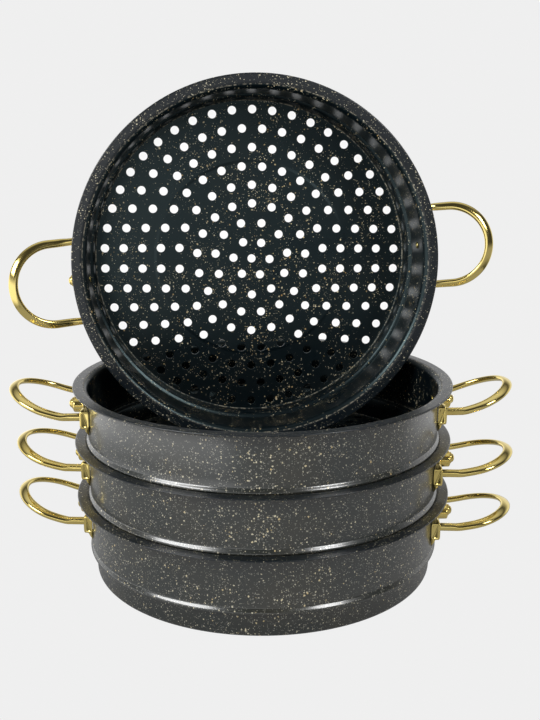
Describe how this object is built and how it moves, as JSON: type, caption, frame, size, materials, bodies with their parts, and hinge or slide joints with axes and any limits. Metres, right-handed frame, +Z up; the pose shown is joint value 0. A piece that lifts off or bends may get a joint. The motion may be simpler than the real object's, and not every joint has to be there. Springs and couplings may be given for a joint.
{
  "type": "stacking steamer set",
  "caption": "Perforated steamer tiers that nest in a stack, each with a flanged rim and two riveted loop handles; the last stands upright in the top one.",
  "frame": {"origin": "on the floor under the middle of the stack", "axes": "+Z up; X runs about from handle to handle; the upright tier's open side faces -Y"},
  "size_m": [0.4051, 0.3, 0.3887],
  "materials": {
    "granite_coating": "speckled non-stick coating",
    "polished_gold": "polished"
  },
  "bodies": {
    "tier_1": {"tier_1_bracket_left": "polished_gold", "tier_1_bracket_right": "polished_gold", "tier_1_handle_left": "polished_gold", "tier_1_handle_right": "polished_gold", "tier_1_pan": "granite_coating", "tier_1_rivet_left": "polished_gold", "tier_1_rivet_right": "polished_gold"},
    "tier_2": {"tier_2_bracket_left": "polished_gold", "tier_2_bracket_right": "polished_gold", "tier_2_handle_left": "polished_gold", "tier_2_handle_right": "polished_gold", "tier_2_pan": "granite_coating", "tier_2_rivet_left": "polished_gold", "tier_2_rivet_right": "polished_gold"},
    "tier_3": {"tier_3_bracket_left": "polished_gold", "tier_3_bracket_right": "polished_gold", "tier_3_handle_left": "polished_gold", "tier_3_handle_right": "polished_gold", "tier_3_pan": "granite_coating", "tier_3_rivet_left": "polished_gold", "tier_3_rivet_right": "polished_gold"},
    "tier_4": {"tier_4_bracket_left": "polished_gold", "tier_4_bracket_right": "polished_gold", "tier_4_handle_left": "polished_gold", "tier_4_handle_right": "polished_gold", "tier_4_pan": "granite_coating", "tier_4_rivet_left": "polished_gold", "tier_4_rivet_right": "polished_gold"}
  },
  "joints": [
    {"name": "tier_2_lift", "type": "slide", "parent": "tier_1", "child": "tier_2", "axis": [0, 0, 1], "range_m": [0, 0.12]},
    {"name": "tier_3_lift", "type": "slide", "parent": "tier_2", "child": "tier_3", "axis": [0, 0, 1], "range_m": [0, 0.12]},
    {"name": "tier_4_lift", "type": "slide", "parent": "tier_3", "child": "tier_4", "axis": [0, 0, 1], "range_m": [0, 0.12]}
  ]
}
